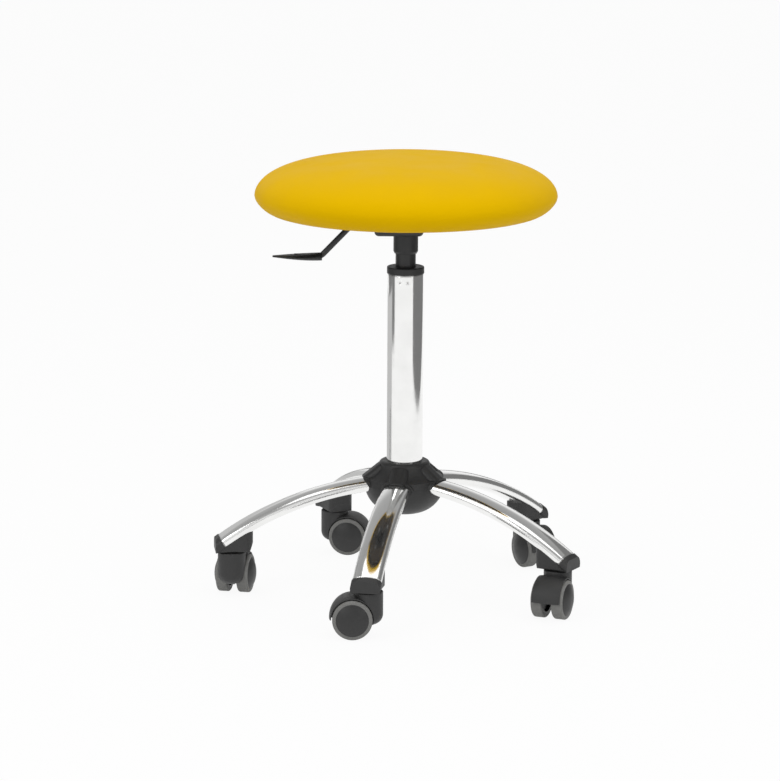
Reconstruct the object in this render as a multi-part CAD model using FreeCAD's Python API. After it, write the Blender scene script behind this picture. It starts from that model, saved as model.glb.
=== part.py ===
import FreeCAD, Part
import math
import os

# A rolling stool with a round padded seat, a gas lift and five arched legs on casters.
# Millimetres and degrees. The origin is on the floor under the column, +Z is up, the
# release lever points to -X and the sitter faces -Y. The stool is at its lowest height.

# Room between pieces
RUNNING_FIT = 0.06        # radial room round what turns or slides in a bore
SEAT_ROOM = 0.1           # room round what is pressed, welded, glued or screwed in place
SWIVEL_GAP = 0.3          # air between faces that pass each other
SKIN_GAP = 0.3            # air between the layers of the seat

# Casters
WHEEL_R = 27.0
TREAD_DEPTH = 5.0
TREAD_WIDTH = 16.0
TREAD_SHOULDER = 2.5
WHEEL_SIDE_GAP = 0.5
WHEEL_RIM_STEP = 0.6
WHEEL_DOME = 6.4
WHEEL_BOSS_R = 9.0
WHEEL_RIM_WALL = 3.0
WHEEL_RECESS = 5.0
AXLE_R = 3.0
AXLE_REACH = 16.0
CASTER_TRAIL = 21.5
CASTER_REST_ANGLES = (180.0, -112.0, -61.0, -8.0, 79.0)   # way each caster points at rest
WEB_WIDTH = 11.0
WEB_BOSS_R = 8.0
WEB_SWEEP = 200.0
FENDER_GAP = 1.4
FENDER_WALL = 3.1
FENDER_CROWN = 1.6
FENDER_WIDTH = 39.6
FENDER_SWEEP = 128.0
HOUSING_R = 19.4
HOUSING_RISE = 4.5        # top of the stem housing above the fender
HOUSING_HEIGHT = 45.5
HOUSING_FOOT_ROUND = 14.0
HOUSING_EDGE_ROUND = 1.5
STEM_JOURNAL_R = 3.5
STEM_JOURNAL_LENGTH = 27.0
STEM_FLANGE_R = 8.0
STEM_FLANGE = 1.5
STEM_SHANK_R = 5.5
STEM_SHANK_LENGTH = 18.0
STEM_GROOVE = 0.8
STEM_GROOVE_WIDTH = 2.4

# Legs and leg sockets
LEG_COUNT = 5
LEG_FIRST_ANGLE = -101.4
STEM_CIRCLE_R = 241.0
LEG_ARCH_R = 440.0        # each leg is an arc about a point on the column's axis
LEG_WIDTH = 40.0
LEG_THICKNESS = 20.0
LEG_SIDE_R = 8.0
LEG_WALL = 1.5
LEG_PAST_STEM = 13.0      # reach of a leg past its caster's stem
LEG_RISE = 21.5           # leg's middle above the socket's underside, at the stem
LEG_CORNER_GAP = 1.0      # between neighbouring legs where they meet the sleeve
SOCKET_WIDTH = 36.0
SOCKET_BACK = 29.0        # reach of the block from the stem toward the column
SOCKET_BACK_HEIGHT = 13.0
SOCKET_FOOT_BACK = 24.0
SOCKET_FOOT_FRONT = 16.0
SOCKET_FRONT = 23.4
SOCKET_FRONT_HEIGHT = 8.0
SOCKET_FOOT_BULGE = 1.4
SOCKET_BACK_ROUND = 11.0
SOCKET_FRONT_ROUND = 4.0
SOCKET_ROUND = 2.5
LIP_HEIGHT = 16.2         # outer top edge of the end lip above the socket's underside
LIP_LEAN = 39.0           # slope of the lip's top, away from upright
LIP_MARGIN = 0.8          # lip outside the tube, all round
STEM_HOLE_ROOM = 0.6      # room round the stem where it passes through the tube
PLUG_LENGTH = 30.0

# Hub
HUB_R = 55.5
HUB_SHOULDER_R = 54.0
HUB_SHOULDER_RISE = 10.0
COLLAR_R = 35.5
COLLAR_RISE = 33.6
COLLAR_FOOT_RISE = 26.5
COLLAR_ROUND = 5.5
FLARE_HOLLOW = 2.6
HOOD_WALL = 2.6
HOOD_TIP_R = 58.0
HOOD_LEAN = 27.0
RIDGE_WIDTH = 27.0        # moulded ridge from the collar out over each leg
RIDGE_RISE = 30.0
RIDGE_ROUND = 9.0
BOWL_DEPTH = 39.9
BOWL_FOOT_R = 20.0
BOWL_BULGE = 9.5
BOWL_WALL = 3.0
BOWL_HOLE_R = 13.0
BOWL_RIB = 3.0
SLEEVE_RISE = 17.0
SLEEVE_DROP = 27.0
SLEEVE_CHAMFER = 1.5
LEG_ROOM = 0.25           # room round a leg where it passes into the hub

# Column and gas lift
COLUMN_R = 25.0
COLUMN_WALL = 1.5
COLUMN_FLOOR = 4.0
COLUMN_LENGTH = 329.0
COLUMN_TAPER = 0.6        # drop in radius over the part that sits in the hub
COLUMN_FOOT_LIFT = 8.3    # underside of the column above the bottom of the hub
CRIMP_R = 2.2
CRIMP_DEPTH = 0.8
CRIMP_BELOW_TOP = 10.0
CRIMP_ANGLES = (-108.7, -83.1)
BUSH_COLLAR_R = 25.7
BUSH_COLLAR = 9.0
BUSH_ROUND = 1.5
BUSH_GUIDE = 80.0
CYLINDER_R = 14.0
CYLINDER_WALL = 2.2
CYLINDER_FOOT = 12.0
CYLINDER_SHOWN = 18.5     # bare cylinder between the bush and the taper socket
CYLINDER_TAPER = 0.9
CYLINDER_CAP = 16.0
CYLINDER_EDGE = 1.0
LIFT_STROKE = 200.0
STROKE_SPARE = 1.0
ROD_R = 5.0
ROD_TAIL = 4.0
ROD_SHOULDER_R = 9.0
ROD_SHOULDER = 3.0
PISTON = 14.0
PISTON_GROOVE = 1.4
CYLINDER_FOOT_GAP = 18.0  # air between the rod's shoulder and the cylinder at its lowest
BEARING_R = 12.0
BEARING_WASHER = 2.0
BALL_R = 2.0
BALL_COUNT = 8
CLIP_R = 8.0
CLIP = 1.2
CLIP_BITE = 0.8
CLIP_MOUTH = 3.0
PIN_R = 4.0
PIN_LENGTH = 14.0
PIN_DOME = 1.2

# Seat plate, taper socket and lever
SOCKET_TUBE_R = 17.0
SOCKET_TUBE_CHAMFER = 3.0
SOCKET_TUBE_LENGTH = 33.5
CHANNEL_ABOVE_SOCKET = 26.5   # underside of the channel above the end of the taper socket
CHANNEL_LEFT = 43.0
CHANNEL_RIGHT = 24.0
CHANNEL_WIDTH = 55.0
CHANNEL_HEIGHT = 29.5
CHANNEL_WALL = 2.5
CHANNEL_ROUND = 6.0
PLATE_LENGTH = 160.0
PLATE_WIDTH = 140.0
PLATE = 4.0
PLATE_CORNER = 14.0
SCREW_INSET = 16.0
SCREW_R = 3.0
SCREW_LENGTH = 13.0
SCREW_HEAD_R = 6.0
SCREW_HEAD = 3.0
LEVER_PIVOT_X = -30.0
LEVER_ABOVE_CHANNEL = 16.5
LEVER_PULL = 5.5
LEVER_ROD_R = 4.0
LEVER_BEND_X = -70.0
LEVER_DROP = 48.5
LEVER_SLOPE = 46.0
LEVER_BEND_R = 12.0
LEVER_EYE_R = 7.5
LEVER_EYE_WIDTH = 14.0
LEVER_TONGUE_REACH = 3.5
LEVER_TONGUE_WIDTH = 12.0
LEVER_TONGUE = 5.0
PIVOT_R = 3.0
PIVOT_HEAD_R = 5.0
PIVOT_HEAD = 2.0
PADDLE_ROOT_X = -115.0
PADDLE_LENGTH = 68.0
PADDLE_ROOT_WIDTH = 15.0
PADDLE_WIDTH = 30.0
PADDLE_TIP_WIDTH = 9.0
PADDLE_ROOT_DEPTH = 11.0
PADDLE_TIP_DEPTH = 2.2
PADDLE_TOP_FALL = 4.5
PADDLE_STATIONS = 6
PADDLE_GRIP = 38.0

# Seat
SEAT_R = 207.7
SEAT_FOOT_R = 184.0
SEAT_WAIST = 21.5         # widest level above the underside
SEAT_CROWN = 50.5         # top of the cushion above its widest level
SEAT_SQUARENESS = 3.5     # how full the shoulder of the cushion is
SEAT_UNDER_SQUARENESS = 1.5
SEAT_PROFILE_POINTS = 9
COVER = 1.5
HEM_R = 150.0
BOARD_R = 181.0
BOARD = 12.0

# Levels, worked out from the floor up
AXLE_Z = WHEEL_R
WELL_R = WHEEL_R + FENDER_GAP
FENDER_R = WELL_R + FENDER_WALL
HOOD_TOP_Z = AXLE_Z + FENDER_R + HOUSING_RISE
STEM_FLANGE_Z = HOOD_TOP_Z + SWIVEL_GAP
SOCKET_Z = STEM_FLANGE_Z + STEM_FLANGE
ARCH_Z = SOCKET_Z + LEG_RISE - math.sqrt(LEG_ARCH_R ** 2 - STEM_CIRCLE_R ** 2)
HUB_Z = ARCH_Z + math.sqrt(LEG_ARCH_R ** 2 - HUB_R ** 2)
SLEEVE_TOP_Z = HUB_Z + SLEEVE_RISE
COLUMN_Z = HUB_Z - BOWL_DEPTH + COLUMN_FOOT_LIFT
COLUMN_TOP_Z = COLUMN_Z + COLUMN_LENGTH
BUSH_TOP_Z = COLUMN_TOP_Z + BUSH_COLLAR
BEARING_Z = COLUMN_Z + COLUMN_FLOOR
SHOULDER_Z = BEARING_Z + 2 * BEARING_WASHER + 2 * BALL_R + SWIVEL_GAP
CYLINDER_Z = SHOULDER_Z + ROD_SHOULDER + CYLINDER_FOOT_GAP
PISTON_Z = CYLINDER_Z + CYLINDER_FOOT + LIFT_STROKE + STROKE_SPARE
SOCKET_TUBE_Z = BUSH_TOP_Z + CYLINDER_SHOWN
CHANNEL_Z = SOCKET_TUBE_Z + CHANNEL_ABOVE_SOCKET
LEVER_Z = CHANNEL_Z + LEVER_ABOVE_CHANNEL
PIN_TOP_Z = LEVER_Z - LEVER_ROD_R - SWIVEL_GAP
CYLINDER_TOP_Z = SOCKET_TUBE_Z + SOCKET_TUBE_LENGTH
PLATE_Z = CHANNEL_Z + CHANNEL_HEIGHT
BOARD_Z = PLATE_Z + PLATE
SEAT_Z = BOARD_Z - COVER - SKIN_GAP

# Other worked-out sizes
LEG_STEP = 360.0 / LEG_COUNT
LEG_END_R = STEM_CIRCLE_R + LEG_PAST_STEM
HALF_STEP = math.radians(LEG_STEP / 2)
COPE_R = math.hypot(LEG_WIDTH / 2, LEG_WIDTH / 2 / math.tan(HALF_STEP) + LEG_CORNER_GAP)
SLEEVE_R = COPE_R - SEAT_ROOM
COLUMN_BORE_R = COLUMN_R - COLUMN_WALL
WHEEL_INNER_Y = WEB_WIDTH / 2 + WHEEL_SIDE_GAP
TREAD_INNER_Y = WHEEL_INNER_Y + WHEEL_RIM_STEP
TREAD_OUTER_Y = TREAD_INNER_Y + TREAD_WIDTH
WHEEL_TIP_Y = TREAD_OUTER_Y + WHEEL_DOME
RIM_R = WHEEL_R - TREAD_DEPTH
QUARTER_RISE = (math.sqrt(2) - 1) / 2     # height of a quarter circle over its chord
PAST = 1.0                                # how far a cutting shape runs past a face
FAR = 2 * SEAT_R                          # longer than any piece

V = FreeCAD.Vector
ORIGIN = V(0, 0, 0)
X_AXIS = V(1, 0, 0)
Y_AXIS = V(0, 1, 0)
Z_AXIS = V(0, 0, 1)


# Drawing helpers

def bow(start, end, rise):
    """Arc step to an end point that rises to the left of its chord by a share of it."""
    dx = end[0] - start[0]
    dz = end[1] - start[1]
    middle = ((start[0] + end[0]) / 2 - dz * rise, (start[1] + end[1]) / 2 + dx * rise)
    return middle, end


def dome(edge, tip):
    """Arc step from an edge up to a tip on the turning axis, as a cap of a sphere."""
    return bow(edge, tip, -math.tan(math.atan2(tip[1] - edge[1], edge[0]) / 2) / 2)


def outline(start, *steps):
    """Face in the XZ plane, from points joined by lines, or by arcs made with bow."""
    edges = []
    here = start
    for step in steps + (start,):
        if isinstance(step[0], tuple):
            middle, end = step
            points = [V(p[0], 0, p[1]) for p in (here, middle, end)]
            edges.append(Part.Arc(*points).toShape())
        else:
            end = step
            points = [V(p[0], 0, p[1]) for p in (here, end)]
            edges.append(Part.LineSegment(*points).toShape())
        here = end
    return Part.Face(Part.Wire(edges))


def turned(face, sweep=360.0):
    return face.revolve(ORIGIN, Z_AXIS, sweep)


def rod(radius, low, high, x=0.0, y=0.0):
    """Upright cylinder between two levels."""
    return Part.makeCylinder(radius, high - low, V(x, y, low))


def block(x_range, y_range, z_range):
    size = [high - low for low, high in (x_range, y_range, z_range)]
    return Part.makeBox(*size, V(x_range[0], y_range[0], z_range[0]))


def turn(shape, angle, axis=Z_AXIS, centre=ORIGIN):
    copy = shape.copy()
    copy.rotate(centre, axis, angle)
    return copy


def around_legs(shape):
    """One copy of a shape made along +X for each leg."""
    return [turn(shape, LEG_FIRST_ANGLE + i * LEG_STEP) for i in range(LEG_COUNT)]


def on_caster(shape, index):
    """A shape made about a stem at the origin, trailing to +X, set at its leg."""
    angle = math.radians(LEG_FIRST_ANGLE + index * LEG_STEP)
    copy = turn(shape, CASTER_REST_ANGLES[index])
    copy.translate(V(STEM_CIRCLE_R * math.cos(angle), STEM_CIRCLE_R * math.sin(angle), 0))
    return copy


def on_axle(shape, side):
    """A shape made about Z, laid on the caster's axle with its top to one side."""
    copy = turn(shape, 90.0 * side, X_AXIS)
    copy.translate(V(CASTER_TRAIL, 0, AXLE_Z))
    return copy


# Legs and their sockets

def leg_sweep(grow, from_r, to_r):
    """The leg's oval, larger all round by grow, swept along its arch between two radii."""
    half_width = LEG_WIDTH / 2 + grow
    half_depth = LEG_THICKNESS / 2 + grow
    side_r = LEG_SIDE_R + grow
    side_y = half_width - side_r
    broad_r = (side_y ** 2 + half_depth ** 2 - side_r ** 2) / (2 * (half_depth - side_r))
    lean = math.atan2(broad_r - half_depth, side_y)
    top_z = ARCH_Z + LEG_ARCH_R
    corner_y = side_y + side_r * math.cos(lean)
    corner_z = side_r * math.sin(lean)
    corners = [V(0, corner_y, top_z - corner_z), V(0, corner_y, top_z + corner_z),
               V(0, -corner_y, top_z + corner_z), V(0, -corner_y, top_z - corner_z)]
    middles = [V(0, half_width, top_z), V(0, 0, top_z + half_depth),
               V(0, -half_width, top_z), V(0, 0, top_z - half_depth)]
    edges = [Part.Arc(corners[i], middles[i], corners[(i + 1) % 4]).toShape() for i in range(4)]
    start = math.degrees(math.asin(from_r / LEG_ARCH_R))
    end = math.degrees(math.asin(to_r / LEG_ARCH_R))
    centre = V(0, 0, ARCH_Z)
    section = turn(Part.Face(Part.Wire(edges)), start, Y_AXIS, centre)
    return section.revolve(centre, Y_AXIS, end - start)


def leg_z(radius):
    """Level of the middle of a leg at a distance from the column's axis."""
    return ARCH_Z + math.sqrt(LEG_ARCH_R ** 2 - radius ** 2)


def leg():
    """Arched oval tube, coped at its root to sit against the sleeve, with a hole for the stem."""
    tube = leg_sweep(0, PAST, LEG_END_R).cut(leg_sweep(-LEG_WALL, 0, LEG_END_R + PAST))
    stem_hole = rod(STEM_SHANK_R + STEM_HOLE_ROOM, 0, leg_z(STEM_CIRCLE_R), STEM_CIRCLE_R)
    return tube.cut([rod(COPE_R, 0, HUB_Z + COLLAR_RISE), stem_hole])


def lies_low(edge, level):
    """True for a straight edge that runs outward along a leg at the given level."""
    ends = [vertex.Point for vertex in edge.Vertexes]
    return all(abs(end.z - level) < SEAT_ROOM for end in ends) and abs(ends[0].x - ends[1].x) > SEAT_ROOM


def socket_block():
    """Block under the leg's end, up to the middle of the leg, with a rounded back."""
    def at(reach, rise):
        return STEM_CIRCLE_R + reach, SOCKET_Z + rise

    front_r = STEM_CIRCLE_R + SOCKET_FRONT
    back_r = STEM_CIRCLE_R - SOCKET_BACK
    foot_front = at(SOCKET_FOOT_FRONT, 0)
    front = at(SOCKET_FRONT, SOCKET_FRONT_HEIGHT)
    middle_r = (LEG_END_R + back_r) / 2
    along_leg = (middle_r, leg_z(middle_r)), (back_r, leg_z(back_r))
    side = outline(at(-SOCKET_BACK, SOCKET_BACK_HEIGHT), at(-SOCKET_FOOT_BACK, 0), foot_front,
                   bow(foot_front, front, -SOCKET_FOOT_BULGE / SOCKET_FRONT_HEIGHT),
                   (LEG_END_R, leg_z(LEG_END_R)), along_leg)
    half = SOCKET_WIDTH / 2
    body = side.extrude(V(0, SOCKET_WIDTH, 0))
    body.translate(V(0, -half, 0))
    trough = block((back_r - PAST, front_r + PAST), (-half, half), (SOCKET_Z, HUB_Z))
    trough = trough.makeFillet(SOCKET_ROUND, [e for e in trough.Edges if lies_low(e, SOCKET_Z)])
    plan = block((back_r, front_r), (-half, half), (SOCKET_Z - PAST, HUB_Z))
    corners = upright_edges(plan)
    plan = plan.makeFillet(SOCKET_BACK_ROUND, [e for e in corners if e.CenterOfMass.x < STEM_CIRCLE_R])
    corners = [e for e in upright_edges(plan) if e.CenterOfMass.x > front_r - SEAT_ROOM]
    return body.common(trough).common(plan.makeFillet(SOCKET_FRONT_ROUND, corners))


def end_lip():
    """Cap on the leg's end: the leg's oval carried on, cut upright in front and leaning on top."""
    front_r = STEM_CIRCLE_R + SOCKET_FRONT
    lip_z = SOCKET_Z + LIP_HEIGHT
    lean = math.tan(math.radians(LIP_LEAN))
    room = outline((STEM_CIRCLE_R, SOCKET_Z), (front_r, SOCKET_Z), (front_r, lip_z),
                   (front_r - HUB_R * lean, lip_z + HUB_R), (STEM_CIRCLE_R - HUB_R * lean, lip_z + HUB_R))
    room = room.extrude(V(0, LEG_WIDTH * 2, 0))
    room.translate(V(0, -LEG_WIDTH, 0))
    return leg_sweep(LIP_MARGIN, LEG_END_R, LEG_END_R + SOCKET_FRONT).common(room)


def leg_socket():
    """Moulded block under the leg's end, with an end lip, a plug in the tube and a stem bore."""
    seat = leg_sweep(SEAT_ROOM, STEM_CIRCLE_R - 2 * SOCKET_BACK, LEG_END_R + SEAT_ROOM)
    plug = leg_sweep(-LEG_WALL - SEAT_ROOM, LEG_END_R - PLUG_LENGTH, LEG_END_R + PAST)
    bore_top = SOCKET_Z + STEM_SHANK_LENGTH + SWIVEL_GAP
    bore = rod(STEM_SHANK_R + SEAT_ROOM, SOCKET_Z - PAST, bore_top, STEM_CIRCLE_R)
    return socket_block().fuse(end_lip()).cut(seat).fuse(plug).cut(bore)


def caster_stem():
    """Swivel pin: shank for the socket, flange, and journal for the hood."""
    top = SOCKET_Z + STEM_SHANK_LENGTH
    groove = SOCKET_Z + STEM_SHANK_LENGTH / 2
    face = outline((0, STEM_FLANGE_Z - STEM_JOURNAL_LENGTH),
                   (STEM_JOURNAL_R, STEM_FLANGE_Z - STEM_JOURNAL_LENGTH),
                   (STEM_JOURNAL_R, STEM_FLANGE_Z), (STEM_FLANGE_R, STEM_FLANGE_Z),
                   (STEM_FLANGE_R, SOCKET_Z), (STEM_SHANK_R, SOCKET_Z),
                   (STEM_SHANK_R, groove - STEM_GROOVE_WIDTH / 2),
                   (STEM_SHANK_R - STEM_GROOVE, groove),
                   (STEM_SHANK_R, groove + STEM_GROOVE_WIDTH / 2),
                   (STEM_SHANK_R, top - STEM_GROOVE), (STEM_SHANK_R - STEM_GROOVE, top), (0, top))
    stem = turned(face)
    stem.translate(V(STEM_CIRCLE_R, 0, 0))
    return stem


# Casters, each made about a stem at the origin

def caster_hood():
    """Fender, stem housing and middle web of a twin-wheel caster in one moulding."""
    foot = HOOD_TOP_Z - HOUSING_HEIGHT
    foot_in = (HOUSING_R - HOUSING_FOOT_ROUND, foot)
    foot_out = (HOUSING_R, foot + HOUSING_FOOT_ROUND)
    edge_out = (HOUSING_R, HOOD_TOP_Z - HOUSING_EDGE_ROUND)
    edge_in = (HOUSING_R - HOUSING_EDGE_ROUND, HOOD_TOP_Z)
    housing = turned(outline((0, foot), foot_in, bow(foot_in, foot_out, -QUARTER_RISE),
                             edge_out, bow(edge_out, edge_in, -QUARTER_RISE), (0, HOOD_TOP_Z)))
    for side in (1, -1):
        well = rod(WELL_R, WEB_WIDTH / 2, FENDER_WIDTH)
        housing = housing.cut(on_axle(well, side))
    half = FENDER_WIDTH / 2
    low = (FENDER_R - FENDER_CROWN, -half)
    high = (FENDER_R - FENDER_CROWN, half)
    barrel = outline((WELL_R, -half), low, bow(low, high, -FENDER_CROWN / FENDER_WIDTH), (WELL_R, half))
    fender = on_axle(turned(barrel, FENDER_SWEEP), 1)
    plate = outline((0, -WEB_WIDTH / 2), (WELL_R + PAST, -WEB_WIDTH / 2),
                    (WELL_R + PAST, WEB_WIDTH / 2), (0, WEB_WIDTH / 2))
    web = on_axle(turned(plate, WEB_SWEEP), 1)
    boss = on_axle(rod(WEB_BOSS_R, -WEB_WIDTH / 2, WEB_WIDTH / 2), 1)
    hood = housing.fuse([fender, web, boss]).removeSplitter()
    journal_foot = STEM_FLANGE_Z - STEM_JOURNAL_LENGTH - SWIVEL_GAP
    journal = rod(STEM_JOURNAL_R + RUNNING_FIT, journal_foot, HOOD_TOP_Z + PAST)
    axle = on_axle(rod(AXLE_R + RUNNING_FIT, -WEB_WIDTH, WEB_WIDTH), 1)
    return hood.cut([journal, axle])


def caster_axle():
    return on_axle(rod(AXLE_R, -AXLE_REACH, AXLE_REACH), 1)


def wheel():
    """Moulded wheel with a hollow inner side, an axle bore and a domed outer cap."""
    bore = AXLE_R + RUNNING_FIT
    bore_top = AXLE_REACH + SWIVEL_GAP
    rim_in = RIM_R - WHEEL_RIM_WALL
    shoulder = (RIM_R, TREAD_OUTER_Y)
    tip = (0, WHEEL_TIP_Y)
    face = outline((bore, WHEEL_INNER_Y), (WHEEL_BOSS_R, WHEEL_INNER_Y),
                   (WHEEL_BOSS_R, WHEEL_INNER_Y + WHEEL_RECESS), (rim_in, WHEEL_INNER_Y + WHEEL_RECESS),
                   (rim_in, TREAD_INNER_Y), (RIM_R, TREAD_INNER_Y), shoulder,
                   dome(shoulder, tip), (0, bore_top), (bore, bore_top))
    return turned(face)


def tread():
    """Soft ring round a wheel, with rounded shoulders."""
    inner = RIM_R + SEAT_ROOM
    shoulder = WHEEL_R - TREAD_SHOULDER
    low = (shoulder, TREAD_INNER_Y)
    low_out = (WHEEL_R, TREAD_INNER_Y + TREAD_SHOULDER)
    high_out = (WHEEL_R, TREAD_OUTER_Y - TREAD_SHOULDER)
    high = (shoulder, TREAD_OUTER_Y)
    return turned(outline((inner, TREAD_INNER_Y), low, bow(low, low_out, -QUARTER_RISE), high_out,
                          bow(high_out, high, -QUARTER_RISE), (inner, TREAD_OUTER_Y)))


# Hub

def column_r_at(z):
    """Outer radius of the column: straight above the sleeve, tapered inside it."""
    share = (SLEEVE_TOP_Z - z) / (SLEEVE_TOP_Z - COLUMN_Z)
    return COLUMN_R - COLUMN_TAPER * min(max(share, 0.0), 1.0)


def hub_sleeve():
    """Steel ring that the legs are welded to, bored to the column's taper."""
    low = HUB_Z - SLEEVE_DROP
    inner = SLEEVE_R - SLEEVE_CHAMFER
    return turned(outline((column_r_at(low) + SEAT_ROOM, low), (inner, low),
                          (SLEEVE_R, low + SLEEVE_CHAMFER), (SLEEVE_R, SLEEVE_TOP_Z - SLEEVE_CHAMFER),
                          (inner, SLEEVE_TOP_Z), (COLUMN_R + SEAT_ROOM, SLEEVE_TOP_Z)))


def hub_core_room():
    """Space inside the hub for the sleeve, the column and the legs."""
    sleeve = rod(SLEEVE_R + SEAT_ROOM, HUB_Z - SLEEVE_DROP - SEAT_ROOM, SLEEVE_TOP_Z + SEAT_ROOM)
    column = rod(COLUMN_R + SEAT_ROOM, COLUMN_Z - SEAT_ROOM, HUB_Z + COLLAR_RISE + PAST)
    return [sleeve, column] + around_legs(leg_sweep(LEG_ROOM, COLUMN_R, 2 * HUB_R))


def hub_ridge(tip_z):
    """Rounded ridge that falls from the collar to the tip of a leg's hood."""
    low = HUB_Z + HUB_SHOULDER_RISE / 2
    root_z = HUB_Z + RIDGE_RISE
    root = (COLUMN_R, low), (COLUMN_R, root_z), (COLLAR_R, root_z)
    side = outline(*root, (HOOD_TIP_R, tip_z), (HOOD_TIP_R, low))
    ridge = side.extrude(V(0, RIDGE_WIDTH, 0))
    ridge.translate(V(0, -RIDGE_WIDTH / 2, 0))
    middles = [(e, e.CenterOfMass) for e in ridge.Edges]
    top = [e for e, m in middles if m.z > tip_z and m.x > COLUMN_R + SEAT_ROOM and abs(m.y) > SEAT_ROOM]
    return ridge.makeFillet(RIDGE_ROUND, top)


def hub_cover():
    """Upper half of the hub: rounded collar, hollow flare and a hood over each leg."""
    top = HUB_Z + COLLAR_RISE
    lip_in = (COLLAR_R - COLLAR_ROUND, top)
    lip_out = (COLLAR_R, top - COLLAR_ROUND)
    neck = (COLLAR_R, HUB_Z + COLLAR_FOOT_RISE)
    shoulder = (HUB_SHOULDER_R, HUB_Z + HUB_SHOULDER_RISE)
    flare = FLARE_HOLLOW / math.hypot(shoulder[0] - neck[0], shoulder[1] - neck[1])
    rim = (HUB_R, HUB_Z)
    body = turned(outline((0, HUB_Z), (0, top), lip_in, bow(lip_in, lip_out, QUARTER_RISE), neck,
                          bow(neck, shoulder, -flare), rim))
    hood = leg_sweep(LEG_ROOM + HOOD_WALL, SLEEVE_R, HOOD_TIP_R + HOOD_WALL)
    tip_z = ARCH_Z + math.sqrt(LEG_ARCH_R ** 2 - HOOD_TIP_R ** 2) + LEG_THICKNESS / 2 + HOOD_WALL
    ahead = block((HOOD_TIP_R, FAR), (-FAR, FAR), (-FAR, FAR))
    hood = hood.cut(turn(ahead, HOOD_LEAN, Y_AXIS, V(HOOD_TIP_R, 0, tip_z)))
    hood = hood.cut(rod(FAR, 0, HUB_Z))
    ridges = around_legs(hub_ridge(tip_z))
    return body.fuse(around_legs(hood) + ridges).cut(hub_core_room()).removeSplitter()


def bowl_face(wall):
    """Outline of the bowl under the legs, or of its hollow, smaller by a wall."""
    rim = (HUB_R - wall, HUB_Z - SEAT_ROOM)
    foot = (BOWL_FOOT_R, HUB_Z - BOWL_DEPTH + wall)
    rise = BOWL_BULGE / math.hypot(rim[0] - foot[0], rim[1] - foot[1])
    return outline((0, rim[1]), rim, bow(rim, foot, rise), (0, foot[1]))


def hub_bowl():
    """Lower half of the hub: a ribbed bowl with a hole under the gas lift."""
    bowl = turned(bowl_face(0))
    core = rod(SLEEVE_R + BOWL_WALL, 0, HUB_Z)
    hollow = turned(bowl_face(BOWL_WALL)).cut(core)
    rib = block((0, HUB_R), (-BOWL_RIB / 2, BOWL_RIB / 2), (0, HUB_Z))
    ribs = [turn(shape, LEG_STEP / 2) for shape in around_legs(rib)]
    hole = rod(BOWL_HOLE_R, 0, HUB_Z)
    return bowl.cut(hollow.cut(ribs)).cut(hub_core_room() + [hole])


# Column and gas lift

def column_tube():
    """Chromed outer tube with a tapered foot, a floor for the rod and two crimps at the top."""
    floor_z = COLUMN_Z + COLUMN_FLOOR
    foot_r = column_r_at(COLUMN_Z)
    hole = ROD_R + RUNNING_FIT
    tube = turned(outline((hole, COLUMN_Z), (foot_r, COLUMN_Z), (COLUMN_R, SLEEVE_TOP_Z),
                          (COLUMN_R, COLUMN_TOP_Z), (COLUMN_BORE_R, COLUMN_TOP_Z),
                          (COLUMN_BORE_R, SLEEVE_TOP_Z), (foot_r - COLUMN_WALL, floor_z),
                          (hole, floor_z)))
    reach = COLUMN_R + CRIMP_R - CRIMP_DEPTH
    crimp = Part.makeSphere(CRIMP_R, V(reach, 0, COLUMN_TOP_Z - CRIMP_BELOW_TOP))
    return tube.cut([turn(crimp, angle) for angle in CRIMP_ANGLES])


def column_bush():
    """Plastic guide in the top of the column, with a collar that rests on the tube."""
    bore = CYLINDER_R + RUNNING_FIT
    guide = COLUMN_BORE_R - SEAT_ROOM
    edge_out = (BUSH_COLLAR_R, BUSH_TOP_Z - BUSH_ROUND)
    edge_in = (BUSH_COLLAR_R - BUSH_ROUND, BUSH_TOP_Z)
    return turned(outline((bore, COLUMN_TOP_Z - BUSH_GUIDE), (guide, COLUMN_TOP_Z - BUSH_GUIDE),
                          (guide, COLUMN_TOP_Z), (BUSH_COLLAR_R, COLUMN_TOP_Z), edge_out,
                          bow(edge_out, edge_in, -QUARTER_RISE), (bore, BUSH_TOP_Z)))


def thrust_bearing():
    """Two washers and a ring of balls that carry the rod's shoulder."""
    bore = ROD_R + SWIVEL_GAP
    low = BEARING_Z + BEARING_WASHER
    high = low + 2 * BALL_R
    washers = [rod(BEARING_R, z, z + BEARING_WASHER).cut(rod(bore, z - PAST, z + PAST + BEARING_WASHER))
               for z in (BEARING_Z, high)]
    ball = Part.makeSphere(BALL_R - SEAT_ROOM, V((BEARING_R + bore) / 2, 0, (low + high) / 2))
    return Part.makeCompound(washers + [turn(ball, i * 360.0 / BALL_COUNT) for i in range(BALL_COUNT)])


def clip_z():
    return COLUMN_Z - SWIVEL_GAP - CLIP


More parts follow.
